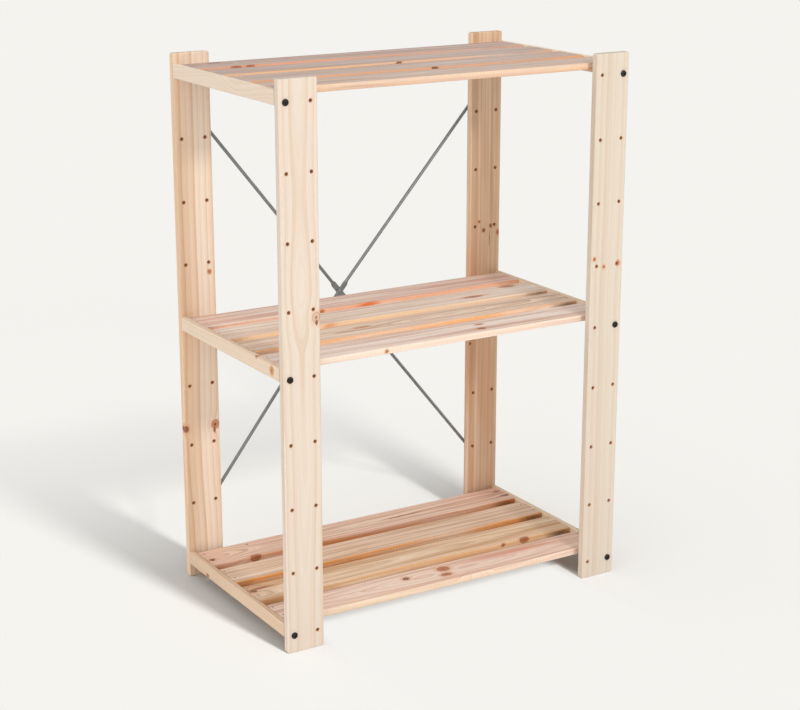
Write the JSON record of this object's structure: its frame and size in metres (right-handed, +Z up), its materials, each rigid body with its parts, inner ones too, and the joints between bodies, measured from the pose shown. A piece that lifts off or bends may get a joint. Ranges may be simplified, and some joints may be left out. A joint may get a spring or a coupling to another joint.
{
  "type": "bread rack",
  "caption": "Free-standing slatted pine rack with drilled posts, open shelves bolted on rebated rails and a crossed steel rod brace behind, for bread crates and stores.",
  "frame": {"origin": "on the floor, under the middle of the rack's bounding box", "axes": "+X to the right as seen from the front, +Y from the front to the back, +Z up"},
  "size_m": [0.78, 0.4708, 1.102],
  "materials": {
    "pine_post": "planed, untreated",
    "pine_rail": "planed, untreated",
    "pine_slat": "planed, untreated",
    "black_bolt": "black, satin",
    "zinc_nut": "zinc plated",
    "rod_steel": "drawn, grey"
  },
  "bodies": {
    "root": {"post_front_left": "pine_post", "post_rear_left": "pine_post", "post_front_right": "pine_post", "post_rear_right": "pine_post", "rail_bottom_right": "pine_rail", "rail_bottom_left": "pine_rail", "slat_bottom_1": "pine_slat", "slat_bottom_2": "pine_slat", "slat_bottom_3": "pine_slat", "slat_bottom_4": "pine_slat", "bolt_bottom_front_left": "black_bolt", "bolt_bottom_rear_left": "black_bolt", "barrel_nut_bottom_front_left": "zinc_nut", "barrel_nut_bottom_rear_left": "zinc_nut", "bolt_bottom_front_right": "black_bolt", "bolt_bottom_rear_right": "black_bolt", "barrel_nut_bottom_front_right": "zinc_nut", "barrel_nut_bottom_rear_right": "zinc_nut", "rail_middle_right": "pine_rail", "rail_middle_left": "pine_rail", "slat_middle_1": "pine_slat", "slat_middle_2": "pine_slat", "slat_middle_3": "pine_slat", "slat_middle_4": "pine_slat", "bolt_middle_front_left": "black_bolt", "bolt_middle_rear_left": "black_bolt", "barrel_nut_middle_front_left": "zinc_nut", "barrel_nut_middle_rear_left": "zinc_nut", "bolt_middle_front_right": "black_bolt", "bolt_middle_rear_right": "black_bolt", "barrel_nut_middle_front_right": "zinc_nut", "barrel_nut_middle_rear_right": "zinc_nut", "rail_top_right": "pine_rail", "rail_top_left": "pine_rail", "slat_top_1": "pine_slat", "slat_top_2": "pine_slat", "slat_top_3": "pine_slat", "slat_top_4": "pine_slat", "bolt_top_front_left": "black_bolt", "bolt_top_rear_left": "black_bolt", "barrel_nut_top_front_left": "zinc_nut", "barrel_nut_top_rear_left": "zinc_nut", "bolt_top_front_right": "black_bolt", "bolt_top_rear_right": "black_bolt", "barrel_nut_top_front_right": "zinc_nut", "barrel_nut_top_rear_right": "zinc_nut", "brace_screw_upper_left": "rod_steel", "brace_screw_upper_right": "rod_steel", "brace_screw_lower_left": "rod_steel", "brace_screw_lower_right": "rod_steel", "brace_rod_front": "rod_steel", "brace_rod_rear": "rod_steel", "brace_rivet": "rod_steel"}
  },
  "joints": []
}
